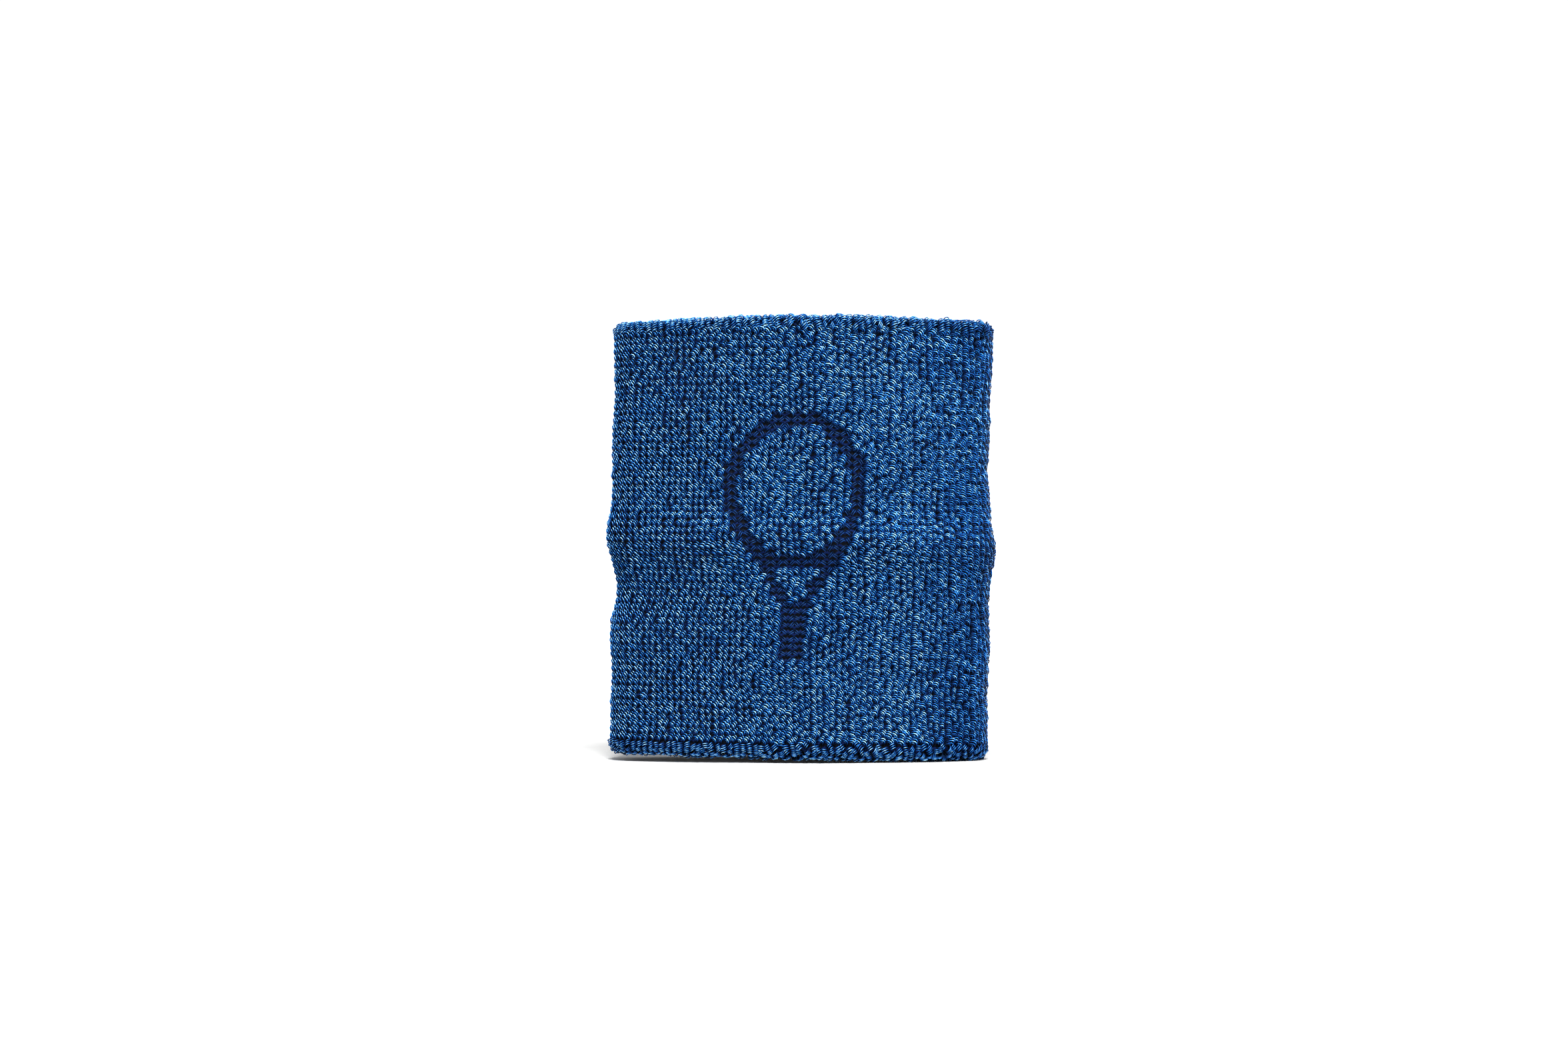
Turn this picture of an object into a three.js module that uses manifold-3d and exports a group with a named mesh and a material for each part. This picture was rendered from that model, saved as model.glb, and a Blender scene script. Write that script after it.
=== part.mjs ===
// A terry sweat wristband: one knitted tube, turned in at both cuffs so that it lies double, and closed by
// an overlocked seam half way up the lining. Millimetres, +Z up. The tube's axis is Z, the motif faces -Y,
// and the origin is under the middle of the lower cuff, on the surface that the band stands on.
import * as THREE from 'three';
import { ParametricGeometry } from 'three/addons/geometries/ParametricGeometry.js';
import { mergeVertices } from 'three/addons/utils/BufferGeometryUtils.js';
import Module from 'manifold-3d';

// Overall sizes, over the pile
const bandWidth = 79;
const bandHeight = 91.5;
const bandDepth = 26;

// The cloth, from the middle of the wall outwards
const elasticDiameter = 0.5;
const yarnClearance = 0.2; // between the elastic, the ground knit and the pile
const groundThickness = 0.7;
const pileHeight = 1.4;
const cuffFlat = 0.4; // how far the cuff's pile is pressed flat by what it stands on
const zoneClearance = 0.2; // between one knitted zone and the next
const elasticPitch = 9.2;

// The closing seam, where the tube's two raw ends are overlocked together inside the wall
const seamHeight = 43;
const seamSwell = 1.4; // how far the seam pushes each layer out
const seamSpread = 5.5;
const seamGap = 0.4;
const allowanceThickness = 0.6;
const allowanceHeight = 3.2;
const allowanceClearance = 0.3;
const threadDiameter = 0.28;
const threadClearance = 0.2;
const looperReach = 2.2; // how far the looper thread comes down each side of the raw edges
const needleDrop = 0.72; // from the looper thread's lower end down to the needle thread

// The motif, a plain racket shape where the pile is left out
const headShift = -1.3; // from the middle of the face to the middle of the racket's head
const headRise = 10.25;
const headWidth = 30;
const headHeight = 34;
const motifLine = 4;
const throatSpread = 11; // from the middle of the racket to where each arm of its throat meets the head
const throatLength = 14;
const handleWidth = 6;
const handleLength = 10;

// How finely the curves are drawn
const sideSteps = 6;
const faceSteps = 8;
const turnSteps = 6;
const motifSteps = 24;

// Offsets from the middle of the wall
const groundInner = elasticDiameter / 2 + yarnClearance;
const groundOuter = groundInner + groundThickness;
const pileInner = groundOuter + yarnClearance;
const wallHalf = pileInner + pileHeight;

// The middle of the wall is an oval of four arcs: two tight side folds and two broad faces.
const innerFoldRadius = 0.6; // of the lining at the side folds, where the seam narrows it most
const foldRadius = innerFoldRadius + wallHalf + seamSwell;
const foldCentre = bandWidth / 2 - wallHalf - foldRadius;
const faceRise = bandDepth / 2 - wallHalf - foldRadius;
const faceCentre = (foldCentre ** 2 - faceRise ** 2) / (2 * faceRise);
const faceRadius = Math.hypot(foldCentre, faceCentre) + foldRadius;
const foldAngle = Math.atan2(faceCentre, foldCentre); // where a side fold meets a face

const lowerTurn = wallHalf - cuffFlat; // heights of the two turns' centres
const upperTurn = bandHeight - lowerTurn;
const wallBottom = lowerTurn + zoneClearance; // where the flat walls of the face and the lining end
const wallTop = upperTurn - zoneClearance;
const swellHeight = seamHeight + allowanceHeight / 2;

const stations = ovalStations();

const materials = {
  pile: new THREE.MeshStandardMaterial({ color: '#2a66b4', roughness: 0.95, metalness: 0 }),
  ground: new THREE.MeshStandardMaterial({ color: '#16264f', roughness: 0.9, metalness: 0 }),
  elastic: new THREE.MeshStandardMaterial({ color: '#d9dce2', roughness: 0.7, metalness: 0 }),
  thread: new THREE.MeshStandardMaterial({ color: '#1f4790', roughness: 0.6, metalness: 0 }),
};

// Points once round the middle of the wall, each with the direction that points out of the band there. Half
// the round is a side fold and then a face, and the other half is the same turned about the tube's axis.
function ovalStations() {
  const axis = new THREE.Vector2(0, 0);
  const arcPoints = (centre, radius, from, to, steps) =>
    Array.from({ length: steps }, (_, i) => {
      const angle = THREE.MathUtils.lerp(from, to, i / steps);
      const outward = new THREE.Vector2(Math.cos(angle), Math.sin(angle));
      return { point: centre.clone().addScaledVector(outward, radius), outward };
    });
  const half = [
    ...arcPoints(new THREE.Vector2(foldCentre, 0), foldRadius, -foldAngle, foldAngle, sideSteps),
    ...arcPoints(new THREE.Vector2(0, -faceCentre), faceRadius, foldAngle, Math.PI - foldAngle, faceSteps),
  ];
  const otherHalf = half.map(({ point, outward }) => ({
    point: point.clone().rotateAround(axis, Math.PI),
    outward: outward.clone().rotateAround(axis, Math.PI),
  }));
  return [...half, ...otherHalf];
}

// How far the seam pushes each layer away from the middle of the wall at a height.
function swell(z) {
  return seamSwell * Math.exp(-(((z - swellHeight) / seamSpread) ** 2));
}

// A closed ring round the band. Its section is a list of points, each an offset from the middle of the wall
// (outwards positive) and a height, going anticlockwise.
function ringGeometry(section) {
  const target = (u, v, out) => {
    const { point, outward } = stations[Math.round(u * stations.length) % stations.length];
    const { x: offset, y: height } = section[Math.round(v * section.length) % section.length];
    out.set(point.x + outward.x * offset, point.y + outward.y * offset, height);
  };
  return new ParametricGeometry(target, stations.length, section.length);
}

// Heights at which a wall is drawn between two others, closer together where the seam swells it.
function wallHeights(bottom, top) {
  const margin = 0.2 * seamSpread; // a height nearer to an end than this is left out
  const nearSeam = [-2, -1.2, -0.6, 0, 0.6, 1.2, 2]
    .map((spreads) => swellHeight + spreads * seamSpread)
    .filter((z) => z > bottom + margin && z < top - margin);
  return [bottom, ...nearSeam, top];
}

// A layer of the wall between two heights: side is 1 in the face and -1 in the lining.
function wallSection(side, inner, outer, bottom, top) {
  const heights = wallHeights(bottom, top);
  const line = (offset) => heights.map((z) => new THREE.Vector2(side * (offset + swell(z)), z));
  const section = [...line(outer), ...line(inner).reverse()];
  return side > 0 ? section : section.reverse();
}

// A layer of the wall where a cuff turns it from the face into the lining: side is 1 at the top and -1 below.
function turnSection(side, inner, outer, centre) {
  const arc = (radius) =>
    Array.from({ length: turnSteps + 1 }, (_, i) => {
      const angle = (Math.PI * i) / turnSteps;
      const height = centre + side * radius * Math.sin(angle);
      return new THREE.Vector2(radius * Math.cos(angle), THREE.MathUtils.clamp(height, 0, bandHeight));
    });
  const section = [...arc(outer), ...arc(inner).reverse()];
  return side > 0 ? section : section.reverse();
}

// A yarn's section, a square on its corner.
function yarnSection(offset, height, diameter) {
  const radius = diameter / 2;
  return [[radius, 0], [0, radius], [-radius, 0], [0, -radius]].map(
    ([across, up]) => new THREE.Vector2(offset + across, height + up),
  );
}

const band = new THREE.Group();

function addPiece(name, geometry, material) {
  const mesh = new THREE.Mesh(geometry, material);
  mesh.name = name;
  band.add(mesh);
}

function addRing(name, section, material) {
  addPiece(name, ringGeometry(section), material);
}

// One layer of the cloth, ground knit or pile, over the two turns and down the lining to the seam
function addTurnsAndLining(layer, inner, outer, material) {
  const seamBottom = seamHeight - seamGap / 2;
  const seamTop = seamHeight + seamGap / 2;
  addRing(`upper_turn_${layer}`, turnSection(1, inner, outer, upperTurn), material);
  addRing(`lower_turn_${layer}`, turnSection(-1, inner, outer, lowerTurn), material);
  addRing(`lining_upper_${layer}`, wallSection(-1, inner, outer, seamTop, wallTop), material);
  addRing(`lining_lower_${layer}`, wallSection(-1, inner, outer, wallBottom, seamBottom), material);
}

// The motif's lines, seen from the front: the head's rim, the throat's two arms, and the handle
function motifShapes() {
  const x = headShift;
  const z = bandHeight / 2 + headRise;
  const a = headWidth / 2;
  const b = headHeight / 2;
  const rim = new THREE.Shape().absellipse(x, z, a, b, 0, 2 * Math.PI);
  const strings = new THREE.Path().absellipse(x, z, a - motifLine, b - motifLine, 0, 2 * Math.PI, true);
  rim.holes.push(strings);
  const shoulder = z - b * Math.sqrt(1 - (throatSpread / a) ** 2); // where the arms meet the head
  const neck = shoulder - throatLength; // where the arms meet the handle
  const lean = (throatSpread - handleWidth / 2) / throatLength;
  const rimLine = z - b + motifLine / 2; // inside the rim's lowest stretch
  const arms = [-1, 1].map((side) => {
    const armAt = (height, inset) => {
      const outer = handleWidth / 2 + lean * (height - neck);
      return new THREE.Vector2(x + side * Math.max(outer - inset, 0), height);
    };
    const crotch = neck + (motifLine - handleWidth / 2) / lean;
    return new THREE.Shape([
      armAt(neck, handleWidth),
      armAt(neck, 0),
      armAt(shoulder, 0),
      armAt(rimLine, motifLine),
      armAt(crotch, motifLine),
    ]);
  });
  const handle = new THREE.Shape([
    new THREE.Vector2(x - handleWidth / 2, neck - handleLength),
    new THREE.Vector2(x + handleWidth / 2, neck - handleLength),
    new THREE.Vector2(x + handleWidth / 2, neck),
    new THREE.Vector2(x - handleWidth / 2, neck),
  ]);
  return [rim, ...arms, handle];
}

// The same lines as prisms that cut through the face's pile, but not the back's
function motifCutters(wasm) {
  return motifShapes().map((shape) => {
    const prism = new THREE.ExtrudeGeometry(shape, {
      depth: bandDepth,
      bevelEnabled: false,
      curveSegments: motifSteps,
    });
    return toSolid(wasm, prism.rotateX(Math.PI / 2));
  });
}

function toSolid(wasm, geometry) {
  const bare = geometry.clone();
  bare.deleteAttribute('normal');
  bare.deleteAttribute('uv');
  const merged = mergeVertices(bare, 1e-4);
  return new wasm.Manifold(
    new wasm.Mesh({
      numProp: 3,
      vertProperties: merged.attributes.position.array,
      triVerts: new Uint32Array(merged.index.array),
    }),
  );
}

function toGeometry(solid) {
  const { vertProperties, triVerts } = solid.getMesh();
  const geometry = new THREE.BufferGeometry();
  geometry.setAttribute('position', new THREE.BufferAttribute(vertProperties, 3));
  geometry.setIndex(new THREE.BufferAttribute(triVerts, 1));
  return geometry;
}

// The face's pile, with the motif left out of it. The lines part two islands from the rest: the pile inside
// the racket's head, and the pile between the arms of its throat.
async function addFacePile() {
  const wasm = await Module();
  wasm.setup();
  const whole = toSolid(wasm, ringGeometry(wallSection(1, pileInner, wallHalf, wallBottom, wallTop)));
  const cut = motifCutters(wasm).reduce((solid, cutter) => solid.subtract(cutter), whole);
  const parts = cut.decompose().sort((a, b) => b.volume() - a.volume());
  ['face_pile', 'motif_head_pile', 'motif_throat_pile'].forEach((name, i) => {
    addPiece(name, toGeometry(parts[i]), materials.pile);
  });
}

// Covered elastic, laid in behind the ground knit of the face and of the lining, midway between each other
function addElastic() {
  const keepClear = {
    from: seamHeight - allowanceThickness - elasticDiameter - seamGap,
    to: seamHeight + allowanceHeight + threadDiameter + elasticDiameter + seamGap,
  };
  const layers = [
    { name: 'face_elastic_yarn', side: 1, first: elasticPitch / 2 },
    { name: 'lining_elastic_yarn', side: -1, first: elasticPitch },
  ];
  for (const { name, side, first } of layers) {
    let count = 0;
    for (let z = lowerTurn + first; z < upperTurn - elasticDiameter; z += elasticPitch) {
      if (z > keepClear.from && z < keepClear.to) continue;
      count += 1;
      const number = String(count).padStart(2, '0');
      addRing(`${name}_${number}`, yarnSection(side * swell(z), z, elasticDiameter), materials.elastic);
    }
  }
}

// The two raw ends, both turned up inside the wall, and the threads that overlock them
function addSeam() {
  const near = allowanceClearance / 2;
  const far = near + allowanceThickness;
  const top = seamHeight + allowanceHeight;
  const back = (height) => threadClearance - groundInner - swell(height); // just behind the lining
  const hairpin = seamHeight + seamGap / 2; // underside of the upper end where it turns back up
  const passing = seamHeight - seamGap / 2; // top of the lower end where it passes under that
  const sole = passing - allowanceThickness;
  const corner = (offset, height) => new THREE.Vector2(offset, height);
  addRing(
    'seam_allowance_upper',
    [
      corner(back(hairpin), hairpin),
      corner(-near, hairpin),
      corner(-near, top),
      corner(-far, top),
      corner(-far, hairpin + allowanceThickness),
      corner(back(hairpin), hairpin + allowanceThickness),
    ],
    materials.ground,
  );
  addRing(
    'seam_allowance_lower',
    [
      corner(back(sole), sole),
      corner(far, sole),
      corner(far, top),
      corner(near, top),
      corner(near, passing),
      corner(back(sole), passing),
    ],
    materials.ground,
  );
  const legInner = far + threadClearance;
  const legOuter = legInner + threadDiameter;
  const foot = top - looperReach;
  const bridge = top + threadClearance;
  addRing(
    'overlock_needle_thread',
    yarnSection(legInner + threadDiameter / 2, foot - needleDrop, threadDiameter),
    materials.thread,
  );
  addRing(
    'overlock_looper_thread',
    [
      corner(legOuter, foot),
      corner(legOuter, bridge + threadDiameter),
      corner(-legOuter, bridge + threadDiameter),
      corner(-legOuter, foot),
      corner(-legInner, foot),
      corner(-legInner, bridge),
      corner(legInner, bridge),
      corner(legInner, foot),
    ],
    materials.thread,
  );
}

addRing('face_ground_knit', wallSection(1, groundInner, groundOuter, wallBottom, wallTop), materials.ground);
addTurnsAndLining('ground_knit', groundInner, groundOuter, materials.ground);
await addFacePile();
addTurnsAndLining('pile', pileInner, wallHalf, materials.pile);
addElastic();
addSeam();

export default band;
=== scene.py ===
import math

import bpy
import numpy as np
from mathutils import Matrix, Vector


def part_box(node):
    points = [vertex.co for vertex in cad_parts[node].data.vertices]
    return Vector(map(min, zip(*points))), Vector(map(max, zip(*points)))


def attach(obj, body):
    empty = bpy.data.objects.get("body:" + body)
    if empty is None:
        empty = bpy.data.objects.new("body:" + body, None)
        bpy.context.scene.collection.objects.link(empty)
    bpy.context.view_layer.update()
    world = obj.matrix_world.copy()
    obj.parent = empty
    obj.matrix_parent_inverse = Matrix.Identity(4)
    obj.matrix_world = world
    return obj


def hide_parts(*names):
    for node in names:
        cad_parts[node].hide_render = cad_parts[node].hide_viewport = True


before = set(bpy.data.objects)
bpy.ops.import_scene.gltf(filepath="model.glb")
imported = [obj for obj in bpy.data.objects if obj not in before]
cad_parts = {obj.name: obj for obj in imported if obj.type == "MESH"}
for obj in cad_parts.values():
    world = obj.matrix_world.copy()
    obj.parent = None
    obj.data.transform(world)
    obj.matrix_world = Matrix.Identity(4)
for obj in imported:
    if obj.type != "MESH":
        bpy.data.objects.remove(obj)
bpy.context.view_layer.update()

# A terry sweat wristband. Lengths are in millimetres up to the moment a mesh is made.
mm = 0.001
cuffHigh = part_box("upper_turn_pile")[1]
band = {
    "halfWidth": cuffHigh[0] / mm + 0.6,  # leaning loops stand out less than the pile's full height
    "halfDepth": cuffHigh[1] / mm,
    "height": cuffHigh[2] / mm,
    "groundOuter": 1.15,    # from the middle of the double wall to the outside of the ground knit
    "pileMiddle": 1.85,     # to where the columns of loops are evenly spaced
    "wallHalf": 2.75,       # to the tips of the pile
    "foldRadius": 4.75,     # of the middle of the wall, at the side folds
    "turnInset": 2.35,      # from a cuff's edge to the middle of its turn
    "wallInset": 0.3,       # from there to where the wall's rows begin
    "column": 1.3,          # from one column of loops to the next, half a wale
    "course": 1.46,         # from one row of loops to the next
}
seam = {
    "height": 45.4,         # of the swelling, in the middle of the face
    "tilt": 1.7,            # how much lower it is at the right fold
    "swell": 1.5,
    "spread": 4.6,
}


# The camera, the light and the floor

camera = {
    "focal": 100,
    "sensorWide": 36,
    "sensorHigh": 24,
    "frameHeight": 215.0,   # how much the frame takes in, from bottom to top
    "aimX": -4.0,
    "aimZ": 49.5,
    "climb": 1.0,           # degrees that it looks down
}


def addCamera():
    data = bpy.data.cameras.new("camera")
    data.lens = camera["focal"]
    data.sensor_width = camera["sensorWide"]
    distance = camera["focal"] * camera["frameHeight"] / camera["sensorHigh"] + band["halfDepth"]
    climb = math.radians(camera["climb"])
    viewer = bpy.data.objects.new("camera", data)
    viewer.location = (
        camera["aimX"] * mm,
        -distance * math.cos(climb) * mm,
        (camera["aimZ"] + distance * math.sin(climb)) * mm,
    )
    viewer.rotation_euler = (math.pi / 2 - climb, 0, 0)
    bpy.context.collection.objects.link(viewer)
    bpy.context.scene.camera = viewer
    print("camera", round(distance), "mm away")


studio = {
    "horizon": 1.06,        # brightness of the white surround low down, and overhead
    "overhead": 0.50,
    "dimFrom": 0.12,        # the sines of the heights between which it dims
    "dimTo": 0.45,
    "sun": 6.0,
    "sunSize": 24,          # degrees across
    "sunHeight": 58,        # degrees above the floor
    "sunSide": 5,           # degrees to the right of the camera
    "floor": 6,             # metres across
}


def addStudio():
    world = bpy.data.worlds.new("white studio")
    world.use_nodes = True
    tree = world.node_tree
    where = addNode(tree, "ShaderNodeTexCoord")
    way = addNode(tree, "ShaderNodeSeparateXYZ", {}, {"Vector": where.outputs["Generated"]})
    glow = addNode(tree, "ShaderNodeMapRange", {
        "From Min": studio["dimFrom"], "From Max": studio["dimTo"],
        "To Min": studio["horizon"], "To Max": studio["overhead"],
    }, {"Value": way.outputs["Z"]})
    tree.nodes["Background"].inputs["Color"].default_value = (1, 1, 1, 1)
    tree.links.new(glow.outputs["Result"], tree.nodes["Background"].inputs["Strength"])
    bpy.context.scene.world = world
    bpy.context.scene.view_settings.view_transform = "Standard"
    bpy.ops.object.light_add(type="SUN", location=(-0.3, -0.6, 1.0))
    sun = bpy.context.object
    sun.name = "big soft key light"
    sun.data.energy = studio["sun"]
    sun.data.angle = math.radians(studio["sunSize"])
    sun.rotation_euler = (math.radians(90 - studio["sunHeight"]), 0, math.radians(studio["sunSide"]))
    bpy.ops.mesh.primitive_plane_add(size=studio["floor"], location=(0, 0, 0))
    floor = bpy.context.object
    floor.name = "floor"
    floor.data.materials.append(paintedFloor())
    print("studio")


# Materials

def linear(hexColour):  # sRGB hex to the linear numbers that a shader wants
    parts = [int(hexColour[i:i + 2], 16) / 255 for i in (1, 3, 5)]
    return tuple(c / 12.92 if c <= 0.04045 else ((c + 0.055) / 1.055) ** 2.4 for c in parts) + (1,)


def addNode(tree, kind, settings=None, links=None):
    node = tree.nodes.new(kind)
    for name, value in (settings or {}).items():
        if name in node.bl_rna.properties:
            setattr(node, name, value)
        else:
            node.inputs[int(name) if name.isdigit() else name].default_value = value
    for name, source in (links or {}).items():
        tree.links.new(source, node.inputs[int(name) if name.isdigit() else name])
    return node


def newMaterial(name):
    material = bpy.data.materials.new(name)
    material.use_nodes = True
    return material, material.node_tree, material.node_tree.nodes["Principled BSDF"]


def setRamp(node, stops):
    ramp = node.color_ramp
    while len(ramp.elements) < len(stops):
        ramp.elements.new(0.5)
    for element, (place, hexColour) in zip(ramp.elements, stops):
        element.position = place
        element.color = linear(hexColour)


# Matt seamless paper: off-white, with the faintest mottle
def paintedFloor():
    material, tree, shader = newMaterial("matt white paper")
    grain = addNode(tree, "ShaderNodeTexNoise", {"Scale": 900.0, "Detail": 2.0})
    tint = addNode(tree, "ShaderNodeValToRGB", {}, {"Fac": grain.outputs["Fac"]})
    setRamp(tint, [(0.3, "#cfcfce"), (0.7, "#d4d4d3")])
    tree.links.new(tint.outputs["Color"], shader.inputs["Base Color"])
    shader.inputs["Roughness"].default_value = 0.9
    return material


yarn = {
    "shades": 16,           # how many strips, each a shade of yarn, lie side by side across the loops' map
    "margin": 0.04,         # of a strip, clear on either side
    "turns": 1.34,          # how far round the strand a strip reaches
    "plyTurns": 2.5,        # turns of the plies from a loop's root to its tip
    "paintedSideLight": 0.96,          # which way round the strand its painted highlight lies; the far side gets painted shade
    # how far the painted shade on a strand's inner side darkens it
    "paintedSideLightDepth": 0.6,
    "rise": 1.15,           # how late up the loop the painted shade at its roots gives way to the painted highlight at its crown
    "uneven": 0.34,         # how much paler or darker the palest and darkest shades are
    "strandSpread": 1.6,    # how many shades apart the strands of one loop may be
    # from painted shade at the roots through the yarn's own blue to a near white painted highlight on the
    # crown
    "tones": [
        (0.0, "#00030f"), (0.25, "#020e2e"), (0.5, "#04235e"),
        (0.71, "#0a52b2"), (0.86, "#34a0ec"), (1.0, "#c6f6ff"),
    ],
}


# Combed cotton pile yarn: deep blue and a little glossy, with the twist of its plies showing as fine lines.
# Its colour holds painted shade towards the roots in the shelter of the pile and a painted highlight along
# the outer side of a loop's crown
def terryYarn():
    material, tree, shader = newMaterial("cotton terry yarn")
    maths = "ShaderNodeMath"
    where = addNode(tree, "ShaderNodeUVMap", {"uv_map": "OFBake"})
    apart = addNode(tree, "ShaderNodeSeparateXYZ", {}, {"Vector": where.outputs["UV"]})
    height = apart.outputs["Y"]
    # Which shade the strand has, and how far round the strand a point lies
    strips = addNode(tree, maths, {"operation": "MULTIPLY", "1": yarn["shades"]}, {"0": apart.outputs["X"]})
    strip = addNode(tree, maths, {"operation": "FLOOR"}, {"0": strips.outputs[0]})
    shade = addNode(tree, maths, {"operation": "DIVIDE", "1": yarn["shades"] - 1}, {"0": strip.outputs[0]})
    about = addNode(tree, maths, {"operation": "FRACT"}, {"0": strips.outputs[0]})
    # The strand's painted highlight on its lit side and painted shade on its inner side
    around = addNode(tree, maths, {
        "operation": "MULTIPLY_ADD",
        "1": 2 * math.pi * yarn["turns"] / (1 - 2 * yarn["margin"]),
        "2": -2 * math.pi * yarn["paintedSideLight"],
    }, {"0": about.outputs[0]})
    facing = addNode(tree, maths, {"operation": "COSINE"}, {"0": around.outputs[0]})
    paintedSideLight = addNode(tree, maths, {
        "operation": "MULTIPLY_ADD", "1": yarn["paintedSideLightDepth"], "2": 1 - yarn["paintedSideLightDepth"],
    }, {"0": facing.outputs[0]})
    # The two plies, wound round each other
    wound = addNode(tree, maths, {"operation": "MULTIPLY_ADD", "1": yarn["plyTurns"]},
                    {"0": height, "2": about.outputs[0]})
    winding = addNode(tree, maths, {"operation": "MULTIPLY", "1": 4 * math.pi}, {"0": wound.outputs[0]})
    plies = addNode(tree, maths, {"operation": "SINE"}, {"0": winding.outputs[0]})
    # Painted shade towards the roots, painted highlight towards the crown and on the lit side, and paler in a
    # pale shade of yarn
    paintedRootShade = addNode(tree, maths, {"operation": "POWER", "1": yarn["rise"]}, {"0": height})
    crown = addNode(tree, maths, {"operation": "MULTIPLY"}, {"0": paintedRootShade.outputs[0], "1": paintedSideLight.outputs[0]})
    own = addNode(tree, maths, {
        "operation": "MULTIPLY_ADD", "1": 2 * yarn["uneven"], "2": 1 - yarn["uneven"],
    }, {"0": shade.outputs[0]})
    even = addNode(tree, maths, {"operation": "MULTIPLY"}, {"0": crown.outputs[0], "1": own.outputs[0]})
    tone = addNode(tree, maths, {"operation": "MULTIPLY_ADD", "1": 0.03},
                   {"0": plies.outputs[0], "2": even.outputs[0]})
    # the tone, with its painted shade and painted highlight, picks the colour
    tint = addNode(tree, "ShaderNodeValToRGB", {}, {"Fac": tone.outputs[0]})
    setRamp(tint, yarn["tones"])
    tree.links.new(tint.outputs["Color"], shader.inputs["Base Color"])
    # The grooves between the plies and the fibres on them
    fibre = addNode(tree, "ShaderNodeTexNoise", {"Scale": 60.0, "Detail": 3.0},
                    {"Vector": where.outputs["UV"]})
    groove = addNode(tree, "ShaderNodeMapRange", {
        "From Min": -1.0, "From Max": -0.2, "To Min": 0.72, "To Max": 1.0,
    }, {"Value": plies.outputs[0]})
    relief = addNode(tree, maths, {"operation": "MULTIPLY_ADD", "1": 0.4},
                     {"0": fibre.outputs["Fac"], "2": groove.outputs["Result"]})
    bump = addNode(tree, "ShaderNodeBump", {"Strength": 0.35, "Distance": 0.00004},
                   {"Height": relief.outputs[0]})
    tree.links.new(bump.outputs["Normal"], shader.inputs["Normal"])
    shader.inputs["Roughness"].default_value = 0.42
    shader.inputs["IOR"].default_value = 1.53
    shader.inputs["Specular IOR Level"].default_value = 0.4
    shader.inputs["Specular Tint"].default_value = linear("#78c4ff")
    shader.inputs["Sheen Weight"].default_value = 0.03
    shader.inputs["Sheen Roughness"].default_value = 0.4
    shader.inputs["Sheen Tint"].default_value = linear("#8fc8f0")
    return material


# Fine ground knit: matt, with the chevrons of its stitches, and near black with painted shade where it lies
# under the pile
def groundYarn():
    material, tree, shader = newMaterial("ground knit yarn")
    maths = "ShaderNodeMath"
    where = addNode(tree, "ShaderNodeUVMap", {"uv_map": "OFBake"})
    apart = addNode(tree, "ShaderNodeSeparateXYZ", {}, {"Vector": where.outputs["UV"]})
    wales = addNode(tree, maths, {"operation": "MULTIPLY", "1": columnCount // 2}, {"0": apart.outputs["X"]})
    bent = addNode(tree, maths, {"operation": "PINGPONG", "1": 0.5}, {"0": wales.outputs[0]})
    courses = addNode(tree, maths, {"operation": "MULTIPLY_ADD", "1": knit["courses"]},
                      {"0": apart.outputs["Y"], "2": bent.outputs[0]})
    angle = addNode(tree, maths, {"operation": "MULTIPLY", "1": 2 * math.pi}, {"0": courses.outputs[0]})
    rib = addNode(tree, maths, {"operation": "SINE"}, {"0": angle.outputs[0]})
    tint = addNode(tree, "ShaderNodeValToRGB", {}, {"Fac": rib.outputs[0]})
    # the knit's dark blue darkened to near black: painted shade of the pile around it
    setRamp(tint, [(0.0, "#01040f"), (1.0, "#08225a")])
    tree.links.new(tint.outputs["Color"], shader.inputs["Base Color"])
    bump = addNode(tree, "ShaderNodeBump", {"Strength": 0.5, "Distance": 0.0002}, {"Height": rib.outputs[0]})
    tree.links.new(bump.outputs["Normal"], shader.inputs["Normal"])
    shader.inputs["Roughness"].default_value = 0.85
    shader.inputs["Specular IOR Level"].default_value = 0.15
    return material


# Rubber wound with textured polyester: pale, with the close turns of its cover
def coveredElastic():
    material, tree, shader = newMaterial("covered elastic yarn")
    where = addNode(tree, "ShaderNodeTexCoord")
    wrap = addNode(tree, "ShaderNodeTexWave", {"Scale": 900.0, "Distortion": 0.6},
                   {"Vector": where.outputs["Object"]})
    tint = addNode(tree, "ShaderNodeValToRGB", {}, {"Fac": wrap.outputs["Fac"]})
    setRamp(tint, [(0.2, "#b9bec8"), (0.8, "#e4e6ea")])
    tree.links.new(tint.outputs["Color"], shader.inputs["Base Color"])
    shader.inputs["Roughness"].default_value = 0.6
    return material


# Spun polyester: blue, smoother than the cotton, with the slant of its plies
def sewingThread():
    material, tree, shader = newMaterial("spun polyester thread")
    where = addNode(tree, "ShaderNodeTexCoord")
    ply = addNode(tree, "ShaderNodeTexWave", {"Scale": 1200.0, "Distortion": 0.4},
                  {"Vector": where.outputs["Object"]})
    tint = addNode(tree, "ShaderNodeValToRGB", {}, {"Fac": ply.outputs["Fac"]})
    setRamp(tint, [(0.2, "#173a78"), (0.8, "#2c5fae")])
    tree.links.new(tint.outputs["Color"], shader.inputs["Base Color"])
    shader.inputs["Roughness"].default_value = 0.5
    return material


# The band's shape

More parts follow.
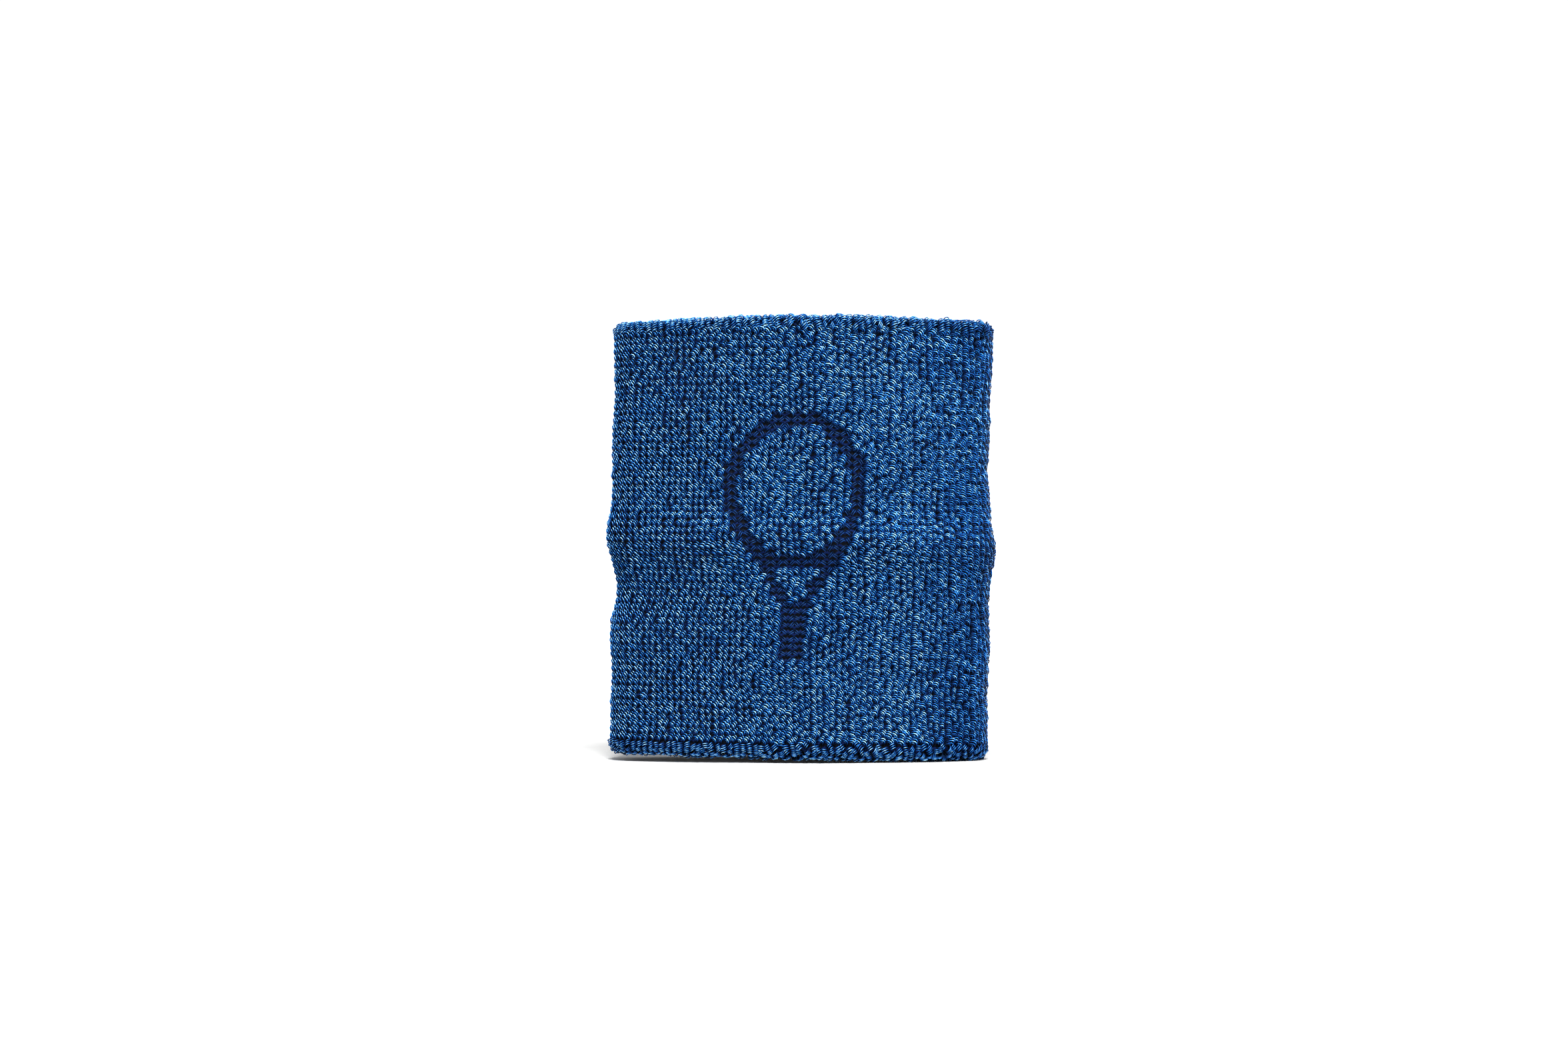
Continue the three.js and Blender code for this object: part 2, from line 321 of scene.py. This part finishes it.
def roundKnots(offset):  # the oval's five arcs: their angles, their lengths at an offset, radii and centres
    rise = band["halfDepth"] - band["wallHalf"] - band["foldRadius"]
    reach = band["halfWidth"] - band["wallHalf"] - band["foldRadius"]
    back = (reach ** 2 - rise ** 2) / (2 * rise)
    fold = math.atan2(back, reach)
    angles = np.array([-math.pi / 2, -fold, fold, math.pi - fold, math.pi + fold, 3 * math.pi / 2])
    faceRadius = math.hypot(reach, back) + band["foldRadius"]
    radii = np.array([faceRadius, band["foldRadius"], faceRadius, band["foldRadius"], faceRadius])
    centres = np.array([(0, back), (reach, 0), (0, -back), (-reach, 0), (0, back)])
    lengths = np.concatenate([[0], np.cumsum(np.diff(angles) * (radii + offset))])
    return angles, lengths, radii, centres


def girth(offset):
    return roundKnots(offset)[1][-1]


def swellAt(x, z):  # how far the hidden seam pushes a layer out, and how fast that changes with height
    height = seam["height"] - seam["tilt"] * x / band["halfWidth"]
    away = (z - height) / seam["spread"]
    push = seam["swell"] * np.exp(-away ** 2)
    return push, -2 * away / seam["spread"] * push


def stand(share, evenAt, offset, z, side=1, turn=None, half=1):
    # Points on the cloth. share is how far round the band from 0 to 1, evenly spaced at the offset evenAt.
    # On the walls the face has side 1 and the lining -1. On a cuff, turn is the angle from the face round the
    # turn, and half is 1 at the top and -1 below. Gives each point with its outward normal, the way round and
    # the way that the knit climbs.
    angles, lengths, radii, centres = roundKnots(evenAt)
    angle = np.interp(share * lengths[-1], lengths, angles)
    arc = np.clip(np.searchsorted(angles, angle, side="right") - 1, 0, 4)
    out = np.stack([np.cos(angle), np.sin(angle), 0 * angle], -1)
    around = np.stack([-np.sin(angle), np.cos(angle), 0 * angle], -1)
    high = np.array([0, 0, 1.0])
    level = centres[arc] + radii[arc][..., None] * out[..., :2]
    middle = np.concatenate([level, 0 * angle[..., None]], -1)
    if turn is None:
        push, slope = swellAt(middle[..., 0], z)
        place = middle + out * (side * (offset + push))[..., None]
        normal = side * out - slope[..., None] * high
        climb = side * high + slope[..., None] * out
    else:
        c, s = np.cos(turn)[..., None], np.sin(turn)[..., None]
        place = middle + out * offset * c + half * high * offset * s
        normal = c * out + half * s * high
        climb = -half * s * out + c * high
    place = place + high * np.asarray(z)[..., None]
    normal = normal / np.linalg.norm(normal, axis=-1, keepdims=True)
    climb = climb / np.linalg.norm(climb, axis=-1, keepdims=True)
    return place, normal, around, climb


settled = {
    "cornerLift": 1.5,      # of the lower left corner
    "crown": 1.6,           # how much higher the top cuff is in the middle
    "sway": 1.0,            # to the left at the foot
    "leftWaist": 1.2,
    "rightWaist": 0.6,
    "dents": 0.35,
    "pressed": 0.05,        # what stands on the floor is pressed flat at this height
}


def settle(points):  # the small ways in which soft cloth stands out of true
    x, y, z = points.T
    across = x / band["halfWidth"]
    up = z / band["height"]
    left, right = np.clip(-across, 0, 1), np.clip(across, 0, 1)
    # Low dents, each the sum of two long waves
    dentX = np.sin(0.19 * z + 0.05 * x + 1.0) + 0.6 * np.sin(0.43 * z - 0.11 * x + 2.1)
    dentY = np.sin(0.13 * x + 0.10 * z) + 0.7 * np.sin(0.24 * x - 0.17 * z + 1.3)
    movedX = x - settled["sway"] * (1 - up) + settled["dents"] * 0.5 * dentX
    movedX += settled["leftWaist"] * left * np.exp(-((z - 35.5) / 5) ** 2)
    movedX -= settled["rightWaist"] * right * np.exp(-((z - 61) / 8) ** 2)
    movedY = y + settled["dents"] * dentY * np.sign(y) * np.clip(np.abs(y) / 4, 0, 1)
    movedZ = z + settled["cornerLift"] * (1 - across) / 2 * (1 - up) ** 3
    movedZ += settled["crown"] * (0.55 - across ** 2) * np.clip(up, 0, 1) ** 3
    return np.stack([movedX, movedY, np.maximum(movedZ, settled["pressed"])], -1)


def smoothNoise(rows, columns, spread, seed):  # even noise of unit strength that joins up round the band
    grid = np.fft.fft2(np.random.default_rng(seed).normal(size=(rows, columns)))
    down, across = np.fft.fftfreq(rows)[:, None], np.fft.fftfreq(columns)[None, :]
    grid = np.fft.ifft2(grid * np.exp(-2 * (math.pi * spread) ** 2 * (down ** 2 + across ** 2))).real
    return grid / grid.std()


# Meshes

def meshObject(name, points, corners, starts, uvs=None):  # points in millimetres
    mesh = bpy.data.meshes.new(name)
    mesh.vertices.add(len(points))
    mesh.vertices.foreach_set("co", (points * mm).astype(np.float32).ravel())
    mesh.loops.add(len(corners))
    mesh.loops.foreach_set("vertex_index", corners.astype(np.int32))
    mesh.polygons.add(len(starts))
    mesh.polygons.foreach_set("loop_start", starts.astype(np.int32))
    mesh.update(calc_edges=True)
    if uvs is not None:
        layer = mesh.uv_layers.new(name="OFBake")
        layer.uv.foreach_set("vector", uvs.astype(np.float32).ravel())
    mesh.shade_smooth()
    made = bpy.data.objects.new(name, mesh)
    bpy.context.collection.objects.link(made)
    return made


def strandArch(radius, depth, lift, thickness, steps):
    # One strand of a loop, standing on the XY plane: a three-sided section spun over from one root to the
    # other, then lifted onto legs
    bpy.ops.object.select_all(action="DESELECT")
    bpy.ops.mesh.primitive_circle_add(vertices=3, radius=thickness / 2, fill_type="NGON", location=(0, 0, 0))
    strand = bpy.context.object
    bpy.ops.object.mode_set(mode="EDIT")
    bpy.ops.mesh.select_all(action="SELECT")
    bpy.ops.transform.translate(value=(-radius, depth, 0))
    bpy.ops.mesh.spin(steps=steps, angle=math.pi, center=(0, depth, 0), axis=(0, -1, 0))
    bpy.ops.mesh.select_all(action="SELECT")
    bpy.ops.mesh.normals_make_consistent(inside=False)
    bpy.ops.object.mode_set(mode="OBJECT")
    mesh = strand.data
    points = np.array([v.co for v in mesh.vertices])
    corners = np.array([i for f in mesh.polygons for i in f.vertices])
    totals = np.array([len(f.vertices) for f in mesh.polygons])
    bpy.data.objects.remove(strand)
    bpy.data.meshes.remove(mesh)
    # The map: the way round the strand across, and from root to tip up
    ring = np.hypot(points[:, 0], points[:, 2]) - radius
    about = (np.arctan2(points[:, 1] - depth, ring) / (2 * math.pi)) % 1
    overArch = np.arctan2(points[:, 2], -points[:, 0]) / math.pi
    points[:, 2] += lift * np.clip(points[:, 2] / (0.4 * radius), 0, 1)
    u = about[corners]
    face = np.repeat(np.arange(len(totals)), totals)
    widest = np.maximum.reduceat(u, np.cumsum(totals) - totals)[face]
    u = np.where(widest - u > 0.5, u + 1, u) / yarn["turns"]
    v = np.sin(np.clip(overArch, 0, 1) * math.pi)[corners]
    return {"points": points, "corners": corners, "totals": totals, "uv": np.stack([u, v], -1)}


def bundle(strands):  # several strands as one pattern to copy
    first = np.cumsum([0] + [len(s["points"]) for s in strands])
    return {
        "points": np.concatenate([s["points"] for s in strands]),
        "corners": np.concatenate([s["corners"] + n for s, n in zip(strands, first)]),
        "totals": np.concatenate([s["totals"] for s in strands]),
        "uv": np.concatenate([s["uv"] for s in strands]),
        "strand": np.repeat(np.arange(len(strands)), [len(s["corners"]) for s in strands]),
    }


def copyOver(name, pattern, place, wide, tall, deep, curl, shade, reach=(0.0, 1.0)):
    # Copies a pattern onto every place. wide, tall and deep are where its three axes go, curl bends the tip,
    # and reach is the part of the way from root to crown that its map takes up, and so how much of the yarn's
    # painted root shade and crown highlight it shows.
    x, d, y = pattern["points"].T[:, None, :, None]
    top = pattern["points"][:, 2].max()
    points = place[:, None] + x * wide[:, None] + y * tall[:, None] + d * deep[:, None]
    points = points + (y / top) ** 2 * curl[:, None]
    count, each = len(place), len(pattern["points"])
    corners = (pattern["corners"][None] + each * np.arange(count)[:, None]).ravel()
    totals = np.tile(pattern["totals"], count)
    uv = np.tile(pattern["uv"], (count, 1, 1))
    uneven = np.random.default_rng(count).normal(size=(count, pattern["strand"].max() + 1))
    shade = np.rint(shade[:, None] + yarn["strandSpread"] * uneven).clip(0, yarn["shades"] - 1)
    within = yarn["margin"] + (1 - 2 * yarn["margin"]) * uv[..., 0]
    uv[..., 0] = (shade[:, pattern["strand"]] + within) / yarn["shades"]
    uv[..., 1] = reach[0] + (reach[1] - reach[0]) * uv[..., 1]
    starts = np.cumsum(totals) - totals
    made = meshObject(name, settle(points.reshape(-1, 3)), corners, starts, uv.reshape(-1, 2))
    made.data.materials.append(terry)
    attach(made, "root")
    return made


# The motif, a plain racket

motif = {
    "x": -1.3,              # the middle of the racket's head
    "z": 56.0,
    "headWidth": 30.0,
    "headHeight": 34.0,
    "line": 4.0,
    "throatSpread": 11.0,
    "throatLength": 14.0,
    "handleWidth": 6.0,
    "handleLength": 10.0,
    "overhang": 0.45,       # how far the loops beside a line stand in over it
    "shiftX": 0.4,          # and how far off their feet all the loops' tips are
    "shiftZ": 0.7,
}


def onMotif(x, z, grow=0.0):  # whether a point of the face lies on one of the racket's lines
    x, z = x - motif["x"], z - motif["z"]
    a, b = motif["headWidth"] / 2, motif["headHeight"] / 2
    line = motif["line"] + grow
    outer = (x / (a + grow)) ** 2 + (z / (b + grow)) ** 2 < 1
    inner = (x / (a - line)) ** 2 + (z / (b - line)) ** 2 < 1
    shoulder = -b * math.sqrt(1 - (motif["throatSpread"] / a) ** 2)
    neck = shoulder - motif["throatLength"]
    lean = (motif["throatSpread"] - motif["handleWidth"] / 2) / motif["throatLength"]
    edge = motif["handleWidth"] / 2 + lean * (z - neck)
    arms = (z > neck) & (z < shoulder) & (np.abs(x) < edge + grow) & (np.abs(x) > edge - line) & ~inner
    handle = (z > neck - motif["handleLength"] - grow) & (z <= neck)
    handle &= np.abs(x) < motif["handleWidth"] / 2 + grow
    return (outer & ~inner) | arms | handle


# The pile

columnCount = 2 * round(girth(band["pileMiddle"]) / band["column"] / 2)
liningColumns = 2 * round(girth(-band["pileMiddle"]) / band["column"] / 2)
wallBottom = band["turnInset"] + band["wallInset"]
wallTop = band["height"] - band["turnInset"] - band["wallInset"]
rowCount = round((wallTop - wallBottom) / band["course"])
print("columns", columnCount, "lining columns", liningColumns, "rows", rowCount)

loop = {
    "strand": 0.26,         # thickness of a strand
    # Each strand's radius, its depth in the loop, the height of its legs and the steps in its arch
    "strands": [(0.80, -0.42, 0.36, 6), (0.78, 0.0, 0.65, 6), (0.70, 0.42, 0.94, 6), (0.42, -0.28, 0.34, 4)],
    "sink": 0.05,           # of its feet into the ground knit
    "lean": 58,             # degrees from standing straight out, towards the way the knit climbs
    "leanSpread": 5,
    "twist": -38,           # degrees that a loop's feet are turned from level
    "twistLeft": -5,        # and how much more towards the left fold
    "twistSpread": 13,
    "skew": 0.12,           # how far the tip leans to the right
    "skewSpread": 0.11,
    "width": 1.14,          # against the strands above
    "height": 1.08,
    "oddWidth": 0.16,       # how much less every second column has
    "oddHeight": 0.10,
    "leftWidth": 0.22,      # how much smaller towards the left fold
    "leftHeight": 0.15,
    "stagger": 0.5,         # how much higher every second column stands
    "stray": 0.10,          # of its feet from their place in the knit
    "curl": 0.2,            # of the tip to one side
    "shade": 7.2,           # of the 16 shades of yarn
    "paintedShadeRight": 2.2,      # how many shades darker towards the right fold: painted shade
}
cuff = {
    "upperRows": [20, 48, 76, 104, 132, 160],   # degrees round the turn
    "lowerRows": [2, 32, 62, 92, 122, 152],
    "pose": {"lean": 14, "twist": 70, "size": 0.92, "wild": 2.2},
}
lining = {
    "strands": [(0.80, -0.25, 0.50, 4), (0.70, 0.25, 0.75, 4)],
    "size": 0.9,
}


def loopFrames(seed, rows, columns, cloth, lean=loop["lean"], twist=0.0, size=1.0, wild=1.0):
    # Each loop's own way of standing: no two are alike, and neighbours are less unlike than strangers.
    # jitter is each loop's own, and drift is shared with its neighbours. Towards the left fold the pile is
    # calmer and lies in cords.
    place, normal, around, climb = cloth
    rng = np.random.default_rng(seed)
    shape = (rows, columns)
    odd = np.broadcast_to(np.arange(columns) % 2, shape)
    spreads = (5, 4, 4, 1.2, 6, 3)
    drift = [smoothNoise(rows, columns, spread, seed + 1 + i) for i, spread in enumerate(spreads)]
    jitter = rng.normal(size=(7,) + shape).clip(-2.2, 2.2)
    toLeft = np.clip(-place[:, 0] / band["halfWidth"] * 1.6 - 0.1, 0, 1).reshape(shape)
    # where the painted shade towards the right fold sets in
    paintedShadeTowardsRight = np.clip(place[:, 0] / band["halfWidth"] * 2.5 - 1.3, 0, 1).reshape(shape)
    odd, beside = odd * (1 - toLeft), (odd - 0.5) * (1 - toLeft)
    lean = np.radians(lean + wild * loop["leanSpread"] * (jitter[0] + 0.4 * drift[0]))
    spread = wild * loop["twistSpread"] * (1 - 0.65 * toLeft)
    turn = loop["twist"] + twist + loop["twistLeft"] * toLeft + spread * (0.7 * jitter[1] + 0.35 * drift[1])
    turn = np.radians(turn)
    skew = loop["skew"] + loop["skewSpread"] * (jitter[2] + 0.5 * drift[2])
    wide = loop["width"] + 0.07 * jitter[3] + 0.05 * drift[3] + 0.05 * drift[4] - loop["oddWidth"] * odd
    wide = size * wide * (1 - loop["leftWidth"] * toLeft)
    tall = loop["height"] + 0.06 * jitter[4] + 0.04 * drift[3] - loop["oddHeight"] * odd
    tall = size * tall * (1 - loop["leftHeight"] * toLeft)
    follow = (0.8 - 0.35 * toLeft).ravel()[:, None]  # how far the tip follows the turned feet
    lean, turn, skew = (v.ravel()[:, None] for v in (lean, turn, skew))
    wide, tall = wide.clip(0.55, 1.6).ravel()[:, None], tall.clip(0.65, 1.5).ravel()[:, None]
    level = around * np.cos(turn) + climb * np.sin(turn)
    ahead = climb * np.cos(turn * follow) - around * np.sin(turn * follow)
    out = normal * np.cos(lean) + ahead * np.sin(lean)
    stray = loop["stray"] * wild * (1 - 0.8 * toLeft)
    aside = stray * jitter[5] + 0.06 * drift[2] * (1 - 0.7 * toLeft)
    further = stray * jitter[6] + 0.08 * drift[5] * (1 - 0.6 * toLeft) + loop["stagger"] * beside
    # each loop's own shade of yarn, less the painted shade towards the right fold
    shade = loop["shade"] + 0.6 * rng.normal(size=shape) + 0.15 * drift[0] - loop["paintedShadeRight"] * paintedShadeTowardsRight
    return {
        "place": place + aside.ravel()[:, None] * around + further.ravel()[:, None] * climb,
        "wide": level * wide,
        "tall": (out + around * skew) * tall,
        "deep": ahead * np.cos(lean) - normal * np.sin(lean),
        "curl": around * loop["curl"] * jitter[1].ravel()[:, None],
        "shade": shade.ravel(),
    }


def addPile(name, pattern, frames, keep, *nodes):
    made = copyOver(name, pattern, **{key: values[keep] for key, values in frames.items()})
    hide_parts(*nodes)
    print(name, int(keep.sum()), "loops", int(keep.sum()) * (pattern["totals"] - 2).sum(), "triangles")
    return made


def loopOf(strands):
    return bundle([strandArch(*strand[:3], loop["strand"], strand[3]) for strand in strands])


def wallGrid(columns):  # the heights and columns of a wall's loops
    heights = wallBottom + (np.arange(rowCount) + 0.5) * (wallTop - wallBottom) / rowCount
    z, column = np.meshgrid(heights, np.arange(columns), indexing="ij")
    return z.ravel(), column.ravel()


def facePile():
    z, column = wallGrid(columnCount)
    root = band["groundOuter"] - loop["sink"]
    cloth = stand(column / columnCount, band["pileMiddle"], root, z)
    x, y, height = cloth[0].T
    front = y < 0
    frames = loopFrames(11, rowCount, columnCount, cloth)
    bare = front & onMotif(x + motif["shiftX"], height + motif["shiftZ"], -motif["overhang"])
    headA, headB = motif["headWidth"] / 2, motif["headHeight"] / 2
    across, below = np.abs(x - motif["x"]), motif["z"] - height
    inHead = front & ((across / headA) ** 2 + (below / headB) ** 2 < 1) & ~bare
    # The small patch between the racket's arms, which narrows downwards
    inThroat = front & ~bare & ~inHead & (across < 6) & (below > headB - 1) & (below < headB + 10)
    inThroat &= across < (headB + 9 - below) * 0.6
    rest = ~bare & ~inHead & ~inThroat
    third = band["halfWidth"] / 3
    return [addPile(name, faceLoop, frames, keep, node) for name, keep, node in (
        ("face_pile_left", rest & front & (x < -third), "face_pile"),
        ("face_pile_middle", rest & front & (np.abs(x) <= third), "face_pile"),
        ("face_pile_right", rest & front & (x > third), "face_pile"),
        ("back_pile_left", rest & ~front & (x < -third), "face_pile"),
        ("back_pile_middle", rest & ~front & (np.abs(x) <= third), "face_pile"),
        ("back_pile_right", rest & ~front & (x > third), "face_pile"),
        ("racket_head_pile", inHead, "motif_head_pile"),
        ("racket_throat_pile", inThroat, "motif_throat_pile"),
    )]


def cuffPile(half, seed, name, node):
    angles = np.radians(cuff["upperRows"] if half > 0 else cuff["lowerRows"])
    turn, column = np.meshgrid(angles, np.arange(columnCount), indexing="ij")
    z = band["turnInset"] if half < 0 else band["height"] - band["turnInset"]
    share = (column / columnCount).ravel()
    root = band["groundOuter"] - loop["sink"]
    cloth = stand(share, band["pileMiddle"], root, np.full(share.shape, z), 1, turn.ravel(), half)
    frames = loopFrames(seed, len(angles), columnCount, cloth, **cuff["pose"])
    return addPile(name, faceLoop, frames, np.ones(len(share), bool), node)


def liningPile():
    z, column = wallGrid(liningColumns)
    root = band["groundOuter"] - loop["sink"]
    cloth = stand(column / liningColumns, -band["pileMiddle"], root, z, -1)
    frames = loopFrames(29, rowCount, liningColumns, cloth, size=lining["size"])
    upper = z > knit["seamHeight"]
    front = cloth[0][:, 1] < 0
    return [
        addPile("lining_upper_front_pile", liningLoop, frames, upper & front, "lining_upper_pile"),
        addPile("lining_upper_back_pile", liningLoop, frames, upper & ~front, "lining_upper_pile"),
        addPile("lining_lower_front_pile", liningLoop, frames, ~upper & front, "lining_lower_pile"),
        addPile("lining_lower_back_pile", liningLoop, frames, ~upper & ~front, "lining_lower_pile"),
    ]


# The ground knit

knit = {
    "thickness": 0.7,
    "middle": 0.8,          # from the middle of the double wall to the middle of the cloth
    "seamHeight": 43.0,     # in the lining
    "seamHalf": 0.55,       # from there to where each side turns in
    "allowance": 3.2,
    "courses": 124,         # from raw end to raw end
    "bend": 22.5,           # degrees between the rows of a cuff's turn
}


def groundKnit():
    # One tube of cloth: from its lower raw end down the lining, out round the lower cuff, up the face, in
    # round the upper cuff and down to its upper raw end, which is overlocked to the lower one inside the wall
    share = np.arange(columnCount) / columnCount
    middle, even = knit["middle"], band["pileMiddle"]
    low, high = knit["seamHeight"] - knit["seamHalf"], knit["seamHeight"] + knit["seamHalf"]
    rawTop = knit["seamHeight"] + knit["allowance"]
    level = np.zeros(columnCount)

    def inside(offset, z):  # a row within the wall, at an offset from its middle
        return stand(share, even, offset, level, 1, level)[0] + np.array([0, 0, z])

    def wall(side, heights):
        return [stand(share, even, middle, level + z, side)[0] for z in heights]

    def turned(half, angles):
        z = band["turnInset"] if half < 0 else band["height"] - band["turnInset"]
        return [stand(share, even, middle, level + z, 1, level + a, half)[0] for a in angles]

    bend = np.radians(np.arange(0, 181, knit["bend"]))
    rows = [inside(0.5, rawTop), inside(0.5, low + 1.2), inside(0.5, low + 0.3), inside(-0.6, low)]
    rows += wall(-1, np.linspace(low, wallBottom, 24))
    rows += turned(-1, bend[::-1])
    rows += wall(1, np.linspace(wallBottom, wallTop, 60))
    rows += turned(1, bend)
    rows += wall(-1, np.linspace(wallTop, high, 28))
    rows += [inside(-0.9, high - 0.1), inside(-0.5, high + 0.5), inside(-0.5, rawTop)]
    grid = np.array(rows)
    step = np.linalg.norm(np.diff(grid, axis=0), axis=-1).mean(1)
    along = np.concatenate([[0], np.cumsum(step)])
    r, c = np.meshgrid(np.arange(len(rows) - 1), np.arange(columnCount), indexing="ij")
    here, after = r * columnCount, (c + 1) % columnCount
    above = here + columnCount
    corners = np.stack([here + c, here + after, above + after, above + c], -1).reshape(-1, 4)
    u = np.stack([c, c + 1, c + 1, c], -1) / columnCount
    v = np.stack([along[r], along[r], along[r + 1], along[r + 1]], -1) / along[-1]
    uv = np.stack([u, v], -1).reshape(-1, 2)
    starts = np.arange(len(corners)) * 4
    made = meshObject("ground_knit", settle(grid.reshape(-1, 3)), corners.ravel(), starts, uv)
    bpy.ops.object.select_all(action="DESELECT")
    made.select_set(True)
    bpy.context.view_layer.objects.active = made
    bpy.ops.object.modifier_add(type="SOLIDIFY")
    made.modifiers[-1].thickness = knit["thickness"] * mm
    made.modifiers[-1].offset = 0
    bpy.ops.object.modifier_apply(modifier=made.modifiers[-1].name)
    made.data.materials.append(groundYarn())
    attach(made, "root")
    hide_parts(*[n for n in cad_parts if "ground_knit" in n or "allowance" in n])
    print("ground knit", round(along[-1], 1), "mm long,", len(made.data.polygons), "faces")
    return made, along[-1]


# The flat stitches that show along the motif's lines

flatStitch = {
    "thickness": 0.3,       # of a strand, against its length
    "depths": (-0.2, 0.2),
    "steps": 3,
    "length": 0.62,         # of a leg, against half a wale
    "relief": 0.5,
    "slope": 40,
    "slopeSpread": 8,
    "stray": 0.07,
    "raise": 0.05,          # above the ground knit
    "grow": 1.0,            # how far they go on under the loops beside a line
    "shade": 6,
    # the lower part of the yarn's map: painted shade that darkens the flat stitches in the motif's recess
    "reach": (0.35, 0.72),
}


def flatStitches():
    depths = flatStitch["depths"]
    leg = bundle([strandArch(1, d, 0, flatStitch["thickness"], flatStitch["steps"]) for d in depths])
    wale = 2 * girth(band["pileMiddle"]) / columnCount
    z, column = wallGrid(columnCount)
    share = (column + 0.5) / columnCount
    root = band["groundOuter"] + flatStitch["raise"]
    place, normal, around, climb = stand(share, band["pileMiddle"], root, z)
    keep = (place[:, 1] < 0) & onMotif(place[:, 0], place[:, 2], grow=flatStitch["grow"])
    place, normal, around, climb = (v[keep] for v in (place, normal, around, climb))
    side = np.where(column[keep] % 2 == 0, 1.0, -1.0)[:, None]
    rng = np.random.default_rng(5)
    slope = np.radians(flatStitch["slope"] + flatStitch["slopeSpread"] * rng.normal(size=side.shape))
    place = place + flatStitch["stray"] * rng.normal(size=side.shape) * around
    place = place + flatStitch["stray"] * rng.normal(size=side.shape) * climb
    # Each leg climbs towards the middle of its wale
    run = side * around * np.cos(slope) + climb * np.sin(slope)
    across = climb * np.cos(slope) - side * around * np.sin(slope)
    run = run * wale / 2 * flatStitch["length"]
    raised = normal * flatStitch["relief"]
    shade = flatStitch["shade"] + rng.normal(size=len(place))
    print("flat stitches", len(place))
    return copyOver("flat_knit_of_motif", leg, place, run, raised, across, 0 * place, shade,
                    flatStitch["reach"])


# Elastic and sewing threads, hidden in the wall

thread = {
    "elastic": 0.5,         # thickness
    "sewing": 0.28,
    "stitches": 66,         # of the overlock, round the band
    "points": 8,            # to a stitch
    "looperHalf": 1.0,      # from the middle of the wall to the looper thread, either way
    "needleHalf": 0.95,     # and to the needle thread
    "needleAbove": 0.5,     # how far the needle thread is above the seam's middle
    "looperAbove": 1.0,     # and the foot of the looper's turns
    "overEdge": 0.3,        # how far the looper passes above the raw edges
}


def threadAlong(name, path, thickness, sides, material, nodes):  # closed threads, one path a row
    count, steps = path.shape[:2]
    ahead = np.roll(path, -1, 1) - np.roll(path, 1, 1)
    ahead /= np.linalg.norm(ahead, axis=-1, keepdims=True)
    first = np.cross(ahead, np.broadcast_to([0, 0, 1.0], ahead.shape))
    first /= np.maximum(np.linalg.norm(first, axis=-1, keepdims=True), 1e-6)
    second = np.cross(first, ahead)
    angle = np.arange(sides) / sides * 2 * math.pi
    ring = np.cos(angle)[:, None] * first[:, :, None] + np.sin(angle)[:, None] * second[:, :, None]
    points = path[:, :, None] + thickness / 2 * ring
    n, i, j = np.meshgrid(np.arange(count), np.arange(steps), np.arange(sides), indexing="ij")
    nextJ = (j + 1) % sides
    here, following = (n * steps + i) * sides, (n * steps + (i + 1) % steps) * sides
    corners = np.stack([here + j, following + j, following + nextJ, here + nextJ], -1).reshape(-1, 4)
    made = meshObject(name, settle(points.reshape(-1, 3)), corners.ravel(), np.arange(len(corners)) * 4)
    made.data.materials.append(material)
    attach(made, "root")
    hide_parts(*nodes)
    print(name, count, "round the band")
    return made


def hiddenThreads():
    elastic, spun = coveredElastic(), sewingThread()
    even = band["pileMiddle"]
    share = np.arange(columnCount) / columnCount
    made = []
    for layer, side in (("face", 1), ("lining", -1)):
        nodes = sorted(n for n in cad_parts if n.startswith(layer + "_elastic"))
        heights = [(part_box(n)[0][2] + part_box(n)[1][2]) / 2 / mm for n in nodes]
        path = np.array([stand(share, even, 0.0, np.full(columnCount, z), side)[0] for z in heights])
        made.append(threadAlong(layer + "_elastic_yarns", path, thread["elastic"], 5, elastic,
                                nodes))
    count = thread["stitches"] * thread["points"]
    share = np.arange(count) / count
    angle = np.arange(count) / thread["points"] * 2 * math.pi
    middle, out = (stand(share, even, offset, 0 * share, 1, 0 * share)[0] for offset in (0.0, 1.0))
    out = out - middle
    high = np.array([0, 0, 1.0])
    bottom = knit["seamHeight"] + thread["looperAbove"]
    top = knit["seamHeight"] + knit["allowance"] + thread["overEdge"]
    wrap = middle + out * (thread["looperHalf"] * np.cos(angle))[:, None]
    wrap = wrap + high * ((bottom + top) / 2 + (top - bottom) / 2 * np.sin(angle))[:, None]
    made.append(threadAlong("overlock_looper_threads", wrap[None], thread["sewing"], 4, spun,
                            ["overlock_looper_thread"]))
    weave = middle + out * (thread["needleHalf"] * np.sign(np.cos(angle)))[:, None]
    weave = weave + high * (knit["seamHeight"] + thread["needleAbove"])
    made.append(threadAlong("overlock_needle_threads", weave[None], thread["sewing"], 4, spun,
                            ["overlock_needle_thread"]))
    return made


# Putting it together

addCamera()
addStudio()
terry = terryYarn()
faceLoop = loopOf(loop["strands"])
liningLoop = loopOf(lining["strands"])
print("loop triangles", (faceLoop["totals"] - 2).sum(), (liningLoop["totals"] - 2).sum())
ground, groundLength = groundKnit()
pile = facePile()
pile.append(cuffPile(1, 41, "upper_cuff_pile", "upper_turn_pile"))
pile.append(cuffPile(-1, 43, "lower_cuff_pile", "lower_turn_pile"))
pile += liningPile()
pile.append(flatStitches())
threads = hiddenThreads()
